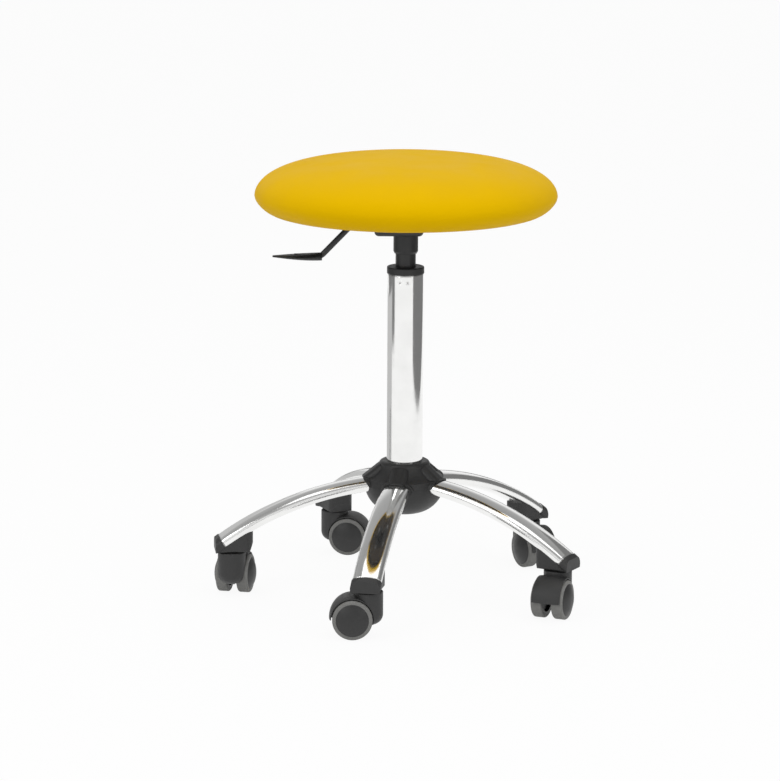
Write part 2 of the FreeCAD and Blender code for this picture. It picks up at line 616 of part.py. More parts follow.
def piston_rod():
    """Rod of the gas lift: clip groove, shoulder on the bearing, and piston with a seal groove."""
    low = COLUMN_Z - ROD_TAIL
    neck = ROD_R - CLIP_BITE
    groove = clip_z()
    piston_r = CYLINDER_R - CYLINDER_WALL - SWIVEL_GAP
    seal = PISTON_Z + PISTON / 2
    return turned(outline((0, low), (neck, low), (ROD_R, low + CLIP_BITE), (ROD_R, groove), (neck, groove),
                          (neck, groove + CLIP), (ROD_R, groove + CLIP), (ROD_R, SHOULDER_Z),
                          (ROD_SHOULDER_R, SHOULDER_Z), (ROD_SHOULDER_R, SHOULDER_Z + ROD_SHOULDER),
                          (ROD_R, SHOULDER_Z + ROD_SHOULDER), (ROD_R, PISTON_Z), (piston_r, PISTON_Z),
                          (piston_r, seal - PISTON_GROOVE), (piston_r - PISTON_GROOVE, seal - PISTON_GROOVE),
                          (piston_r - PISTON_GROOVE, seal + PISTON_GROOVE), (piston_r, seal + PISTON_GROOVE),
                          (piston_r, PISTON_Z + PISTON), (0, PISTON_Z + PISTON)))


def rod_clip():
    """Open ring in the rod's groove, under the floor of the column."""
    ring = rod(CLIP_R, clip_z() + SEAT_ROOM, clip_z() + CLIP - SEAT_ROOM)
    bore = rod(ROD_R - CLIP_BITE + SEAT_ROOM, 0, COLUMN_Z)
    mouth = block((0, CLIP_R + PAST), (-CLIP_MOUTH, CLIP_MOUTH), (0, COLUMN_Z))
    return ring.cut([bore, mouth])


def cylinder_r_at(z):
    """Outer radius of the gas cylinder: straight below the taper socket, tapered inside it."""
    share = (z - SOCKET_TUBE_Z) / SOCKET_TUBE_LENGTH
    return CYLINDER_R - CYLINDER_TAPER * min(max(share, 0.0), 1.0)


def gas_cylinder():
    """Pressure tube with a rod guide below, a tapered top and a bore for the release pin."""
    bore = CYLINDER_R - CYLINDER_WALL
    guide_z = CYLINDER_Z + CYLINDER_FOOT
    cap_z = CYLINDER_TOP_Z - CYLINDER_CAP
    guide = ROD_R + RUNNING_FIT
    valve = PIN_R + RUNNING_FIT
    return turned(outline((guide, CYLINDER_Z), (CYLINDER_R - CYLINDER_EDGE, CYLINDER_Z),
                          (CYLINDER_R, CYLINDER_Z + CYLINDER_EDGE), (CYLINDER_R, SOCKET_TUBE_Z),
                          (cylinder_r_at(CYLINDER_TOP_Z), CYLINDER_TOP_Z), (valve, CYLINDER_TOP_Z),
                          (valve, cap_z), (bore, cap_z), (bore, guide_z), (guide, guide_z)))


def release_pin():
    """Round-topped pin that opens the valve when the lever presses it."""
    low = PIN_TOP_Z - PIN_LENGTH
    side = (PIN_R, PIN_TOP_Z - PIN_DOME)
    return turned(outline((0, low), (PIN_R, low), side, dome(side, (0, PIN_TOP_Z))))


# Seat plate, taper socket and lever

def taper_socket():
    """Welded tube, bored to the cylinder's taper, with a chamfered lower end."""
    top = CYLINDER_TOP_Z - SEAT_ROOM
    low_r = SOCKET_TUBE_R - SOCKET_TUBE_CHAMFER / 2
    return turned(outline((CYLINDER_R + SEAT_ROOM, SOCKET_TUBE_Z), (low_r, SOCKET_TUBE_Z),
                          (SOCKET_TUBE_R, SOCKET_TUBE_Z + SOCKET_TUBE_CHAMFER), (SOCKET_TUBE_R, top),
                          (cylinder_r_at(top) + SEAT_ROOM, top)))


def screw_places():
    x = PLATE_LENGTH / 2 - SCREW_INSET
    y = PLATE_WIDTH / 2 - SCREW_INSET
    return [(sx * x, sy * y) for sx in (1, -1) for sy in (1, -1)]


def upright_edges(shape):
    return [edge for edge in shape.Edges if abs(edge.tangentAt(edge.FirstParameter).z) > 0.9]


def seat_plate():
    """Pressed plate under the board with a welded channel for the socket and the lever."""
    plate = block((-PLATE_LENGTH / 2, PLATE_LENGTH / 2), (-PLATE_WIDTH / 2, PLATE_WIDTH / 2),
                  (PLATE_Z, PLATE_Z + PLATE))
    plate = plate.makeFillet(PLATE_CORNER, upright_edges(plate))
    half = CHANNEL_WIDTH / 2
    outer = block((-CHANNEL_LEFT, CHANNEL_RIGHT), (-half, half), (CHANNEL_Z, PLATE_Z))
    rounded = upright_edges(outer)
    rounded += [edge for edge in outer.Edges if edge.BoundBox.ZMax < CHANNEL_Z + SEAT_ROOM]
    outer = outer.makeFillet(CHANNEL_ROUND, rounded)
    wall = CHANNEL_WALL
    inner = block((wall - CHANNEL_LEFT, CHANNEL_RIGHT - wall), (wall - half, half - wall),
                  (CHANNEL_Z + wall, PLATE_Z))
    inner = inner.makeFillet(CHANNEL_ROUND - wall, upright_edges(inner))
    slot_half = LEVER_ROD_R + 2 * SWIVEL_GAP
    lift = (CHANNEL_LEFT + LEVER_PIVOT_X) * math.tan(math.radians(LEVER_PULL))
    slot = block((-CHANNEL_LEFT - PAST, wall - CHANNEL_LEFT + PAST), (-slot_half, slot_half),
                 (LEVER_Z - LEVER_ROD_R - SWIVEL_GAP, LEVER_Z + LEVER_ROD_R + lift + 2 * SWIVEL_GAP))
    socket = rod(SOCKET_TUBE_R + SEAT_ROOM, CHANNEL_Z - PAST, LEVER_Z)
    pivot = Part.makeCylinder(PIVOT_R + SEAT_ROOM, FAR, V(LEVER_PIVOT_X, -FAR / 2, LEVER_Z), Y_AXIS)
    holes = [rod(SCREW_R + SEAT_ROOM, PLATE_Z - PAST, BOARD_Z + PAST, x, y) for x, y in screw_places()]
    channel = outer.cut([inner, slot, socket, pivot])
    return plate.cut(holes).fuse(channel).removeSplitter()


def seat_screws():
    """Round-headed screws up through the plate into the board."""
    face = outline((0, PLATE_Z - SCREW_HEAD), (SCREW_HEAD_R / 2, PLATE_Z - SCREW_HEAD),
                   bow((SCREW_HEAD_R / 2, PLATE_Z - SCREW_HEAD), (SCREW_HEAD_R, PLATE_Z), -QUARTER_RISE),
                   (SCREW_R, PLATE_Z), (SCREW_R, PLATE_Z + SCREW_LENGTH - SCREW_R),
                   (0, PLATE_Z + SCREW_LENGTH))
    screw = turned(face)
    screws = []
    for x, y in screw_places():
        copy = screw.copy()
        copy.translate(V(x, y, 0))
        screws.append(copy)
    return Part.makeCompound(screws)


def lever_pivot_pin():
    """Headed pin across the channel that the lever turns on."""
    half = CHANNEL_WIDTH / 2
    pin = Part.makeCylinder(PIVOT_R, CHANNEL_WIDTH + PIVOT_HEAD, V(LEVER_PIVOT_X, -half, LEVER_Z), Y_AXIS)
    head = Part.makeCylinder(PIVOT_HEAD_R, PIVOT_HEAD, V(LEVER_PIVOT_X, -half - PIVOT_HEAD, LEVER_Z), Y_AXIS)
    return pin.fuse(head)


def paddle_axis_z():
    return LEVER_Z - LEVER_DROP


def bent_path(points, bend_r):
    """Wire in the XZ plane through points, with a round bend at each inner one."""
    edges = []
    here = points[0]
    for before, corner, after in zip(points, points[1:], points[2:]):
        back = (before - corner).normalize()
        ahead = (after - corner).normalize()
        half_turn = back.getAngle(ahead) / 2
        reach = bend_r / math.tan(half_turn)
        inward = (back + ahead).normalize()
        middle = corner + inward * (bend_r / math.sin(half_turn) - bend_r)
        start = corner + back * reach
        end = corner + ahead * reach
        edges.append(Part.LineSegment(here, start).toShape())
        edges.append(Part.Arc(start, middle, end).toShape())
        here = end
    edges.append(Part.LineSegment(here, points[-1]).toShape())
    return Part.Wire(edges)


def lever_bar(grow):
    """Bent round bar from the pivot into the paddle, larger all round by grow."""
    low_x = LEVER_BEND_X - LEVER_DROP / math.tan(math.radians(LEVER_SLOPE))
    points = [V(LEVER_PIVOT_X, 0, LEVER_Z), V(LEVER_BEND_X, 0, LEVER_Z), V(low_x, 0, paddle_axis_z()),
              V(PADDLE_ROOT_X - PADDLE_GRIP - grow, 0, paddle_axis_z())]
    circle = Part.Wire(Part.makeCircle(LEVER_ROD_R + grow, points[0], X_AXIS))
    return bent_path(points, LEVER_BEND_R).makePipeShell([circle], True, False)


def lever_rod():
    """Bent rod from the pivot to the paddle, with an eye on the pivot and a tongue over the pin."""
    eye_start = V(LEVER_PIVOT_X, -LEVER_EYE_WIDTH / 2, LEVER_Z)
    eye = Part.makeCylinder(LEVER_EYE_R, LEVER_EYE_WIDTH, eye_start, Y_AXIS)
    half = LEVER_TONGUE_WIDTH / 2
    low = LEVER_Z - LEVER_ROD_R
    tongue = block((LEVER_PIVOT_X, LEVER_TONGUE_REACH), (-half, half), (low, low + LEVER_TONGUE))
    bore = Part.makeCylinder(PIVOT_R + RUNNING_FIT, FAR, V(LEVER_PIVOT_X, -FAR / 2, LEVER_Z), Y_AXIS)
    return lever_bar(0).fuse([eye, tongue]).cut(bore)


def lever_handle():
    """Leaf-shaped paddle, flat on top and rounded below, bored for the rod."""
    top = paddle_axis_z() + PADDLE_ROOT_DEPTH / 2
    sections = []
    for i in range(PADDLE_STATIONS):
        share = i / (PADDLE_STATIONS - 1)
        swell = math.sin(math.pi * share ** 0.75)
        width = PADDLE_ROOT_WIDTH + (PADDLE_TIP_WIDTH - PADDLE_ROOT_WIDTH) * share
        width += (PADDLE_WIDTH - (PADDLE_ROOT_WIDTH + PADDLE_TIP_WIDTH) / 2) * swell
        depth = PADDLE_ROOT_DEPTH + (PADDLE_TIP_DEPTH - PADDLE_ROOT_DEPTH) * share ** 1.4
        centre = V(PADDLE_ROOT_X - PADDLE_LENGTH * share, 0, top - PADDLE_TOP_FALL * share - depth / 2)
        ellipse = Part.Ellipse(centre + V(0, width / 2, 0), centre + V(0, 0, depth / 2), centre)
        sections.append(Part.Wire(ellipse.toShape()))
    return Part.makeLoft(sections, True, False).cut(lever_bar(SEAT_ROOM))


# Seat

def seat_face(inset, low):
    """Half outline of the cushion, drawn in by inset all round and cut off at a level."""
    waist_z = SEAT_Z + SEAT_WAIST
    waist_r = SEAT_R - inset
    crown = SEAT_CROWN - inset
    under = waist_z - low
    foot_r = SEAT_FOOT_R - inset
    upper = []
    lower = []
    for i in range(SEAT_PROFILE_POINTS + 1):
        angle = math.pi / 2 * i / SEAT_PROFILE_POINTS
        r = waist_r * math.sin(angle) ** (2 / SEAT_SQUARENESS)
        upper.append(V(r, 0, waist_z + crown * math.cos(angle)))
        power = 2 / SEAT_UNDER_SQUARENESS
        r = foot_r + (waist_r - foot_r) * math.cos(angle) ** power
        lower.append(V(r, 0, waist_z - under * math.sin(angle) ** power))
    top = Part.BSplineCurve()
    top.interpolate(Points=upper, InitialTangent=X_AXIS, FinalTangent=-Z_AXIS)
    side = Part.BSplineCurve()
    side.interpolate(Points=lower)
    edges = [top.toShape(), side.toShape(),
             Part.LineSegment(lower[-1], V(0, 0, low)).toShape(),
             Part.LineSegment(V(0, 0, low), upper[0]).toShape()]
    return Part.Face(Part.Wire(edges))


def seat_cover():
    """Upholstery skin, folded under the edge of the board."""
    skin = turned(seat_face(0, SEAT_Z)).cut(turned(seat_face(COVER, SEAT_Z + COVER)))
    return skin.cut(rod(HEM_R, SEAT_Z - PAST, BOARD_Z))


def seat_foam():
    """Cushion with a domed crown and drawn-in sides, wrapped over the edge of the board."""
    foam = turned(seat_face(COVER + SKIN_GAP, SEAT_Z + COVER + SKIN_GAP))
    return foam.cut(rod(BOARD_R + SKIN_GAP, SEAT_Z, BOARD_Z + BOARD + SKIN_GAP))


def seat_board():
    """Plywood disc with pilot holes for the plate's screws."""
    board = rod(BOARD_R, BOARD_Z, BOARD_Z + BOARD)
    depth = BOARD_Z + SCREW_LENGTH - PLATE + SWIVEL_GAP
    return board.cut([rod(SCREW_R + SEAT_ROOM, BOARD_Z - PAST, depth, x, y) for x, y in screw_places()])


# All pieces, one file each

pieces = {
    "seat_cover": seat_cover(),
    "seat_foam": seat_foam(),
    "seat_board": seat_board(),
    "seat_screws": seat_screws(),
    "seat_plate": seat_plate(),
    "taper_socket": taper_socket(),
    "lever_pivot_pin": lever_pivot_pin(),
    "lever_rod": lever_rod(),
    "lever_handle": lever_handle(),
    "gas_cylinder": gas_cylinder(),
    "release_pin": release_pin(),
    "piston_rod": piston_rod(),
    "rod_clip": rod_clip(),
    "thrust_bearing": thrust_bearing(),
    "column_tube": column_tube(),
    "column_bush": column_bush(),
    "hub_sleeve": hub_sleeve(),
    "hub_cover": hub_cover(),
    "hub_bowl": hub_bowl(),
    "caster_stems": Part.makeCompound(around_legs(caster_stem())),
}
for number, (tube, socket) in enumerate(zip(around_legs(leg()), around_legs(leg_socket())), 1):
    pieces[f"leg_{number}"] = tube
    pieces[f"leg_socket_{number}"] = socket

hood_shape = caster_hood()
axle_shape = caster_axle()
wheel_shape = wheel()
tread_shape = tread()
for index in range(LEG_COUNT):
    number = index + 1
    pieces[f"caster_hood_{number}"] = on_caster(hood_shape, index)
    pieces[f"caster_axle_{number}"] = on_caster(axle_shape, index)
    for name, side in (("left", 1), ("right", -1)):
        pieces[f"wheel_{name}_{number}"] = on_caster(on_axle(wheel_shape, side), index)
        pieces[f"tread_{name}_{number}"] = on_caster(on_axle(tread_shape, side), index)

os.makedirs("parts", exist_ok=True)
for name, shape in pieces.items():
    shape.exportStep(f"parts/{name}.step")
print(len(pieces), "pieces, top of seat at", round(SEAT_Z + SEAT_WAIST + SEAT_CROWN, 1))
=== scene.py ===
# %% [markdown]
# A rolling stool for a treatment room: a round padded seat on a gas lift, over five arched
# chrome legs with twin-wheel casters. Its rigid pieces come ready made from the imported frame,
# in metres, with the floor at zero under the column. This lesson gives each piece its finish,
# upholsters the seat and sets up the picture. We start by loading the frame.

# %% Load the frame
import math
import random

import bmesh
import bpy
from mathutils import Matrix, Vector


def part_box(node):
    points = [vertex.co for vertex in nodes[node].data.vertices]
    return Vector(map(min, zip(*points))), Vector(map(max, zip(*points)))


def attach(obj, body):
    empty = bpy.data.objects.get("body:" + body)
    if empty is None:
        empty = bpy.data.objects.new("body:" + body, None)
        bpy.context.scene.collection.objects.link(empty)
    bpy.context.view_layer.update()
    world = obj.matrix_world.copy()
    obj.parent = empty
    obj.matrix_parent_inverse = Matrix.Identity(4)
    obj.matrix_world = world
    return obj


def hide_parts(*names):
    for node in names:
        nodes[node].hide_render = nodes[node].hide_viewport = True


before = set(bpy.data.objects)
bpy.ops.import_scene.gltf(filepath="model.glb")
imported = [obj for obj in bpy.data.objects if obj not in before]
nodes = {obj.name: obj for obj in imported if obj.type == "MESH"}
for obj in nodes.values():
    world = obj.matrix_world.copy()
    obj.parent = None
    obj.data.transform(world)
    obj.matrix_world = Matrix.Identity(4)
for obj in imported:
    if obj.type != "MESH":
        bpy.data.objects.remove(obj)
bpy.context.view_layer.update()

# %% [markdown]
# The camera stands five metres away and looks down a little, as a long studio lens does.
# Far away and zoomed in, the near and far casters come out almost the same size. The lens is
# worked out from the picture's long side, because Blender's sensor width belongs to that side.

# %% Camera
PICTURE_LONG_SIDE = 781
LENS_IN_PIXELS = 3610
SENSOR_WIDTH = 36.0
CAMERA_DISTANCE = 5.0
CAMERA_TILT = math.radians(11.89)
CAMERA_ROLL = math.radians(0.3)
CAMERA_AIM = Vector((-0.0206, 0.0, 0.2862))
CAMERA_REACH = 60.0


def studio_camera():
    """Camera in front of the stool, on the side the sitter faces."""
    data = bpy.data.cameras.new("studio_camera")
    data.sensor_width = SENSOR_WIDTH
    data.lens = SENSOR_WIDTH * LENS_IN_PIXELS / PICTURE_LONG_SIDE
    data.clip_end = CAMERA_REACH
    camera = bpy.data.objects.new("studio_camera", data)
    bpy.context.scene.collection.objects.link(camera)
    back = Vector((0, -math.cos(CAMERA_TILT), math.sin(CAMERA_TILT)))
    tilt = Matrix.Rotation(math.pi / 2 - CAMERA_TILT, 4, "X")
    roll = Matrix.Rotation(CAMERA_ROLL, 4, "Z")
    camera.matrix_world = Matrix.Translation(CAMERA_AIM + back * CAMERA_DISTANCE) @ tilt @ roll
    bpy.context.scene.camera = camera
    return camera


camera = studio_camera()
print("camera at", [round(x, 2) for x in camera.location], "lens", round(camera.data.lens, 1), "mm")

# %% [markdown]
# Every finish below is a node material. A few small helpers keep them short: cloudy noise at
# a size in metres, a spread of that noise between two values, a run of shades, and a relief
# that lifts or dents the surface by a real depth. The patterns use each piece's own
# coordinates, which are metres in the stool's frame, so they ride along when a piece moves.

# %% Helpers for finishes
def new_finish(name):
    """A node material, with its node tree, its shader and the piece's own coordinates."""
    finish = bpy.data.materials.new(name)
    finish.use_nodes = True
    tree = finish.node_tree
    shader = tree.nodes["Principled BSDF"]
    place = tree.nodes.new("ShaderNodeTexCoord").outputs["Object"]
    return finish, tree, shader, place


def stretched(tree, place, factors):
    """Coordinates multiplied along each axis, to draw a pattern out into streaks."""
    mapping = tree.nodes.new("ShaderNodeMapping")
    mapping.inputs["Scale"].default_value = factors
    tree.links.new(place, mapping.inputs["Vector"])
    return mapping.outputs["Vector"]


def clouds(tree, place, size, detail=3.0):
    """Noise from 0 to 1 with patches about size metres across."""
    noise = tree.nodes.new("ShaderNodeTexNoise")
    noise.inputs["Scale"].default_value = 1.0 / size
    noise.inputs["Detail"].default_value = detail
    tree.links.new(place, noise.inputs["Vector"])
    return noise.outputs["Fac"]


def cells(tree, place, size, feature="F1"):
    """Distance to the middle of each pebble, or to its edge, for pebbles of a size."""
    pebble = tree.nodes.new("ShaderNodeTexVoronoi")
    pebble.feature = feature
    pebble.inputs["Scale"].default_value = 1.0 / size
    tree.links.new(place, pebble.inputs["Vector"])
    return pebble.outputs["Distance"]


NOISE_LOW = 0.3
NOISE_HIGH = 0.7


def spread(tree, value, low, high):
    """The usual reach of noise, spread between two values."""
    reach = tree.nodes.new("ShaderNodeMapRange")
    reach.inputs["From Min"].default_value = NOISE_LOW
    reach.inputs["From Max"].default_value = NOISE_HIGH
    reach.inputs["To Min"].default_value = low
    reach.inputs["To Max"].default_value = high
    tree.links.new(value, reach.inputs["Value"])
    return reach.outputs["Result"]


def shades(tree, value, *steps):
    """Colours blended by a value: each step is a place from 0 to 1 and a colour."""
    ramp = tree.nodes.new("ShaderNodeValToRGB")
    while len(ramp.color_ramp.elements) < len(steps):
        ramp.color_ramp.elements.new(0.5)
    for element, (position, colour) in zip(ramp.color_ramp.elements, steps):
        element.position = position
        element.color = (*colour, 1.0)
    tree.links.new(value, ramp.inputs["Fac"])
    return ramp.outputs["Color"]


def relief(tree, shader, height, depth, strength=1.0, under=None):
    """A bump of a real depth in metres, laid over another one where there is one."""
    bump = tree.nodes.new("ShaderNodeBump")
    bump.inputs["Strength"].default_value = strength
    bump.inputs["Distance"].default_value = depth
    tree.links.new(height, bump.inputs["Height"])
    if under is not None:
        tree.links.new(under, bump.inputs["Normal"])
    tree.links.new(bump.outputs["Normal"], shader.inputs["Normal"])
    return bump.outputs["Normal"]


print("helpers ready: clouds, cells, spread, shades, relief")

# %% [markdown]
# The seat is covered in yellow vinyl: a soft sheet with a fine pebbled grain, a satin sheen
# and a colour that is nearly even. An image texture would need a file, so the grain is a
# pattern of small cells, and two slow noises make the colour and the gloss drift a little.

# %% Yellow vinyl
VINYL_YELLOW = (0.715, 0.430, 0.000)
VINYL_DEEP_YELLOW = (0.680, 0.402, 0.000)
VINYL_SHEEN_TINT = (1.0, 0.72, 0.06, 1.0)
VINYL_GRAIN = 0.0011
VINYL_GRAIN_DEPTH = 0.00012
VINYL_GRAIN_STRENGTH = 0.35
VINYL_PATCH = 0.16
VINYL_ROUGHNESS = (0.50, 0.62)
VINYL_SPECULAR = 0.05


def yellow_vinyl():
    """Satin upholstery vinyl with a fine pebbled grain."""
    finish, tree, shader, place = new_finish("seat_vinyl")
    drift = clouds(tree, place, VINYL_PATCH)
    colour = shades(tree, drift, (NOISE_LOW, VINYL_DEEP_YELLOW), (NOISE_HIGH, VINYL_YELLOW))
    tree.links.new(colour, shader.inputs["Base Color"])
    gloss = clouds(tree, place, VINYL_PATCH / 4)
    tree.links.new(spread(tree, gloss, *VINYL_ROUGHNESS), shader.inputs["Roughness"])
    shader.inputs["Specular IOR Level"].default_value = VINYL_SPECULAR
    shader.inputs["Specular Tint"].default_value = VINYL_SHEEN_TINT
    grain = cells(tree, place, VINYL_GRAIN)
    relief(tree, shader, grain, VINYL_GRAIN_DEPTH, VINYL_GRAIN_STRENGTH)
    return finish


vinyl = yellow_vinyl()
print("made", vinyl.name)

# %% [markdown]
# The column and the legs are chromed tube. Chrome has almost no colour of its own: it shows
# the studio, so its look is made by what stands round it. A little haze where hands and
# cloths have been, and a very faint waviness from polishing, keep it from looking like a
# perfect mirror. Thick plating also rounds over small edges, and the bevel node does the same
# for the facets of the mesh: it takes the mean of the normals close by.

# %% Chrome
CHROME_TONE = (0.92, 0.92, 0.91)
CHROME_HAZE_TONE = (0.86, 0.86, 0.85)
CHROME_HAZE_SIZE = 0.03
CHROME_HAZE_DETAIL = 6.0
CHROME_ROUGHNESS = (0.06, 0.13)
CHROME_WAVE = 0.05
CHROME_WAVE_DEPTH = 0.0002
CHROME_WAVE_STRENGTH = 0.5
CHROME_EVENING = 0.005    # how far the plating evens out the facets under it
CHROME_EVENING_SAMPLES = 8


def polished_chrome():
    """Bright plating with faint haze and waviness."""
    finish, tree, shader, place = new_finish("polished_chrome")
    shader.inputs["Metallic"].default_value = 1.0
    haze = clouds(tree, place, CHROME_HAZE_SIZE, CHROME_HAZE_DETAIL)
    tone = shades(tree, haze, (NOISE_LOW, CHROME_TONE), (NOISE_HIGH, CHROME_HAZE_TONE))
    tree.links.new(tone, shader.inputs["Base Color"])
    tree.links.new(spread(tree, haze, *CHROME_ROUGHNESS), shader.inputs["Roughness"])
    even = tree.nodes.new("ShaderNodeBevel")
    even.samples = CHROME_EVENING_SAMPLES
    even.inputs["Radius"].default_value = CHROME_EVENING
    wave = clouds(tree, place, CHROME_WAVE, 1.0)
    relief(tree, shader, wave, CHROME_WAVE_DEPTH, CHROME_WAVE_STRENGTH, even.outputs["Normal"])
    return finish


chrome = polished_chrome()
print("made", chrome.name)

# %% [markdown]
# The hub, the leg sockets, the caster hoods, the wheels and the bush are moulded in charcoal
# plastic. The mould is etched, so the surface has a very fine even grain that scatters the
# light: dark grey rather than black. One function makes this family, with its own tone and
# gloss for each use, because the real pieces come from different moulds.

# %% Moulded plastics
PLASTIC_GRAIN = 0.0005
PLASTIC_GRAIN_DEPTH = 0.00006
PLASTIC_GRAIN_STRENGTH = 0.5
SCUFF_SIZE = 0.012
SCUFF_DETAIL = 5.0


def moulded_plastic(name, dark, light, smooth, rough):
    """Charcoal plastic with etched grain and slightly uneven gloss."""
    finish, tree, shader, place = new_finish(name)
    patch = clouds(tree, place, SCUFF_SIZE, SCUFF_DETAIL)
    colour = shades(tree, patch, (NOISE_LOW, (dark,) * 3), (NOISE_HIGH, (light,) * 3))
    tree.links.new(colour, shader.inputs["Base Color"])
    tree.links.new(spread(tree, patch, smooth, rough), shader.inputs["Roughness"])
    grain = clouds(tree, place, PLASTIC_GRAIN, 2.0)
    relief(tree, shader, grain, PLASTIC_GRAIN_DEPTH, PLASTIC_GRAIN_STRENGTH)
    return finish


hub_plastic = moulded_plastic("hub_plastic", dark=0.016, light=0.021, smooth=0.42, rough=0.54)
caster_plastic = moulded_plastic("caster_plastic", dark=0.023, light=0.029, smooth=0.45, rough=0.58)
wheel_plastic = moulded_plastic("wheel_plastic", dark=0.019, light=0.024, smooth=0.40, rough=0.52)
print("made", hub_plastic.name, caster_plastic.name, wheel_plastic.name)

# %% [markdown]
# Each wheel has a ring of soft grey tread, so that it rolls quietly and leaves no marks.
# Rubber like this picks up dust, which shows as slightly lighter and darker clouds, and it
# reflects very little.

# %% Grey tread
TREAD_GREY = (0.195, 0.194, 0.187)
TREAD_DUSTY_GREY = (0.158, 0.157, 0.150)
TREAD_ROUGHNESS = (0.55, 0.72)
TREAD_GRAIN_STRENGTH = 0.6
DUST_SIZE = SCUFF_SIZE / 2
DUST_DETAIL = 6.0


def grey_tread():
    """Soft wheel rubber with a dusty surface."""
    finish, tree, shader, place = new_finish("tread_rubber")
    dust = clouds(tree, place, DUST_SIZE, DUST_DETAIL)
    colour = shades(tree, dust, (NOISE_LOW, TREAD_DUSTY_GREY), (NOISE_HIGH, TREAD_GREY))
    tree.links.new(colour, shader.inputs["Base Color"])
    tree.links.new(spread(tree, dust, *TREAD_ROUGHNESS), shader.inputs["Roughness"])
    grain = clouds(tree, place, PLASTIC_GRAIN)
    relief(tree, shader, grain, PLASTIC_GRAIN_DEPTH, TREAD_GRAIN_STRENGTH)
    return finish


tread_rubber = grey_tread()
print("made", tread_rubber.name)

# %% [markdown]
# The seat plate, the taper socket, the lever's rod and the gas cylinder are black steel. The
# plate is powder coated, which leaves a skin like orange peel, and the cylinder is stove
# enamelled and smoother. Both come from one function with a different peel.

# %% Black steel
PEEL_SIZE = 0.0016
PEEL_STRENGTH = 0.6
WEAR_DETAIL = 6.0
WEAR_LIGHTER = 1.35       # worn patches against the fresh coat


def coated_steel(name, tone, peel_depth, smooth, rough):
    """Steel under a black coat with an orange-peel surface."""
    finish, tree, shader, place = new_finish(name)
    wear = clouds(tree, place, SCUFF_SIZE, WEAR_DETAIL)
    worn = tone * WEAR_LIGHTER
    colour = shades(tree, wear, (NOISE_LOW, (tone,) * 3), (NOISE_HIGH, (worn,) * 3))
    tree.links.new(colour, shader.inputs["Base Color"])
    tree.links.new(spread(tree, wear, smooth, rough), shader.inputs["Roughness"])
    relief(tree, shader, clouds(tree, place, PEEL_SIZE, 1.0), peel_depth, PEEL_STRENGTH)
    return finish


powder_coat = coated_steel("powder_coat", tone=0.018, peel_depth=0.00015,
                           smooth=0.36, rough=0.50)
cylinder_enamel = coated_steel("cylinder_enamel", tone=0.016, peel_depth=0.00004,
                               smooth=0.26, rough=0.38)
print("made", powder_coat.name, cylinder_enamel.name)

# %% [markdown]
# Screws, stems, axles and the lift's rod are bare steel, zinc plated or turned. Zinc has soft
# crystals with a slightly warm cast, and turned steel has fine lines round its axis. The lines
# are noise squeezed along the upright axis, which most of these pieces turn about.

# %% Plain steels
ZINC_TONE = (0.60, 0.60, 0.57)
ZINC_DULL_TONE = (0.46, 0.46, 0.45)
ZINC_CRYSTAL = 0.003
ZINC_CRYSTAL_STRENGTH = 0.3
ZINC_ROUGHNESS = (0.30, 0.42)
STEEL_TONE = (0.62, 0.62, 0.63)
STEEL_DARK_TONE = (0.50, 0.50, 0.51)
STEEL_ROUGHNESS = (0.22, 0.34)
TURNING_LINE = 0.0006
TURNING_STRETCH = (0.05, 0.05, 1.0)
TURNING_STRENGTH = 0.4


def zinc_plate():
    """Zinc plating with soft crystals."""
    finish, tree, shader, place = new_finish("zinc_plate")
    shader.inputs["Metallic"].default_value = 1.0
    crystal = cells(tree, place, ZINC_CRYSTAL)
    tone = shades(tree, crystal, (0.1, ZINC_DULL_TONE), (0.7, ZINC_TONE))
    tree.links.new(tone, shader.inputs["Base Color"])
    tree.links.new(spread(tree, crystal, *ZINC_ROUGHNESS), shader.inputs["Roughness"])
    relief(tree, shader, crystal, PLASTIC_GRAIN_DEPTH, ZINC_CRYSTAL_STRENGTH)
    return finish


def turned_steel():
    """Bare steel with fine lines left by turning."""
    finish, tree, shader, place = new_finish("turned_steel")
    shader.inputs["Metallic"].default_value = 1.0
    lines = clouds(tree, stretched(tree, place, TURNING_STRETCH), TURNING_LINE, 2.0)
    tone = shades(tree, lines, (NOISE_LOW, STEEL_DARK_TONE), (NOISE_HIGH, STEEL_TONE))
    tree.links.new(tone, shader.inputs["Base Color"])
    tree.links.new(spread(tree, lines, *STEEL_ROUGHNESS), shader.inputs["Roughness"])
    relief(tree, shader, lines, PLASTIC_GRAIN_DEPTH, TURNING_STRENGTH)
    return finish


zinc = zinc_plate()
steel = turned_steel()
print("made", zinc.name, steel.name)

# %% [markdown]
# Under the seat, inside the folded edge of the vinyl, the plywood board shows. Its colour is
# set nearly black as painted shade, so that it reads as the shadow of the seat. Its face has long
# grain, so the noise is drawn out along one axis, with finer fibres over it that catch a little
# light.

# %% Plywood
# painted shade: both grain tones are set near black so that the board reads as the seat's shadow
SHADED_GRAIN_LIGHT = (0.052, 0.040, 0.030)
SHADED_GRAIN_DARK = (0.026, 0.020, 0.015)
GRAIN_STRETCH = (0.08, 1.0, 1.0)
GRAIN_WIDTH = 0.012
GRAIN_DETAIL = 4.0
FIBRE_WIDTH = 0.0012
FIBRE_STRENGTH = 0.6
PLYWOOD_ROUGHNESS = (0.50, 0.70)


